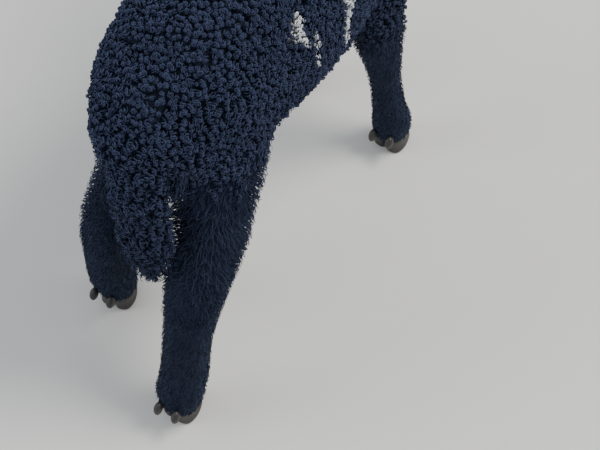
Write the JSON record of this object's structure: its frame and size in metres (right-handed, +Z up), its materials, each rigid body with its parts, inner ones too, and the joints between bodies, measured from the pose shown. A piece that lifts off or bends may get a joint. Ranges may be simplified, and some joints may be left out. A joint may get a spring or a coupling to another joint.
{
  "type": "wallis country sheep lamb",
  "caption": "Life-size still model of a black curly-fleeced country sheep lamb in mid-stride, with white flank patches, horn buds and a long woolly tail.",
  "frame": {"origin": "middle of the bounding box on the floor under the lamb", "axes": "+Z up, the lamb faces -Y, its left side is at +X"},
  "size_m": [0.237, 0.6436, 0.5401],
  "materials": {
    "black_fleece": "tight soft wool curls, matte blue-black with a faint sheen, white patches on the right flank",
    "short_black_wool": "short dense wool and hair on head, ears and lower legs, matte black",
    "horn": "dark horn, satin",
    "eye": "wet dark amber eye with a level slit pupil"
  },
  "bodies": {
    "root": {"dewclaw_fore_left_a": "horn", "dewclaw_fore_left_b": "horn", "dewclaw_fore_right_a": "horn", "dewclaw_fore_right_b": "horn", "dewclaw_hind_left_a": "horn", "dewclaw_hind_left_b": "horn", "dewclaw_hind_right_a": "horn", "dewclaw_hind_right_b": "horn", "ear_left": "short_black_wool", "ear_right": "short_black_wool", "eye_left": "eye", "eye_right": "eye", "foreleg_left_lower": "short_black_wool", "foreleg_left_upper": "black_fleece", "foreleg_right_lower": "short_black_wool", "foreleg_right_upper": "black_fleece", "head": "short_black_wool", "hindleg_left_lower": "short_black_wool", "hindleg_left_upper": "black_fleece", "hindleg_right_lower": "short_black_wool", "hindleg_right_upper": "black_fleece", "hoof_fore_left_a": "horn", "hoof_fore_left_b": "horn", "hoof_fore_right_a": "horn", "hoof_fore_right_b": "horn", "hoof_hind_left_a": "horn", "hoof_hind_left_b": "horn", "hoof_hind_right_a": "horn", "hoof_hind_right_b": "horn", "horn_bud_left": "horn", "horn_bud_right": "horn", "neck": "black_fleece", "tail": "black_fleece", "torso": "black_fleece"}
  },
  "joints": []
}
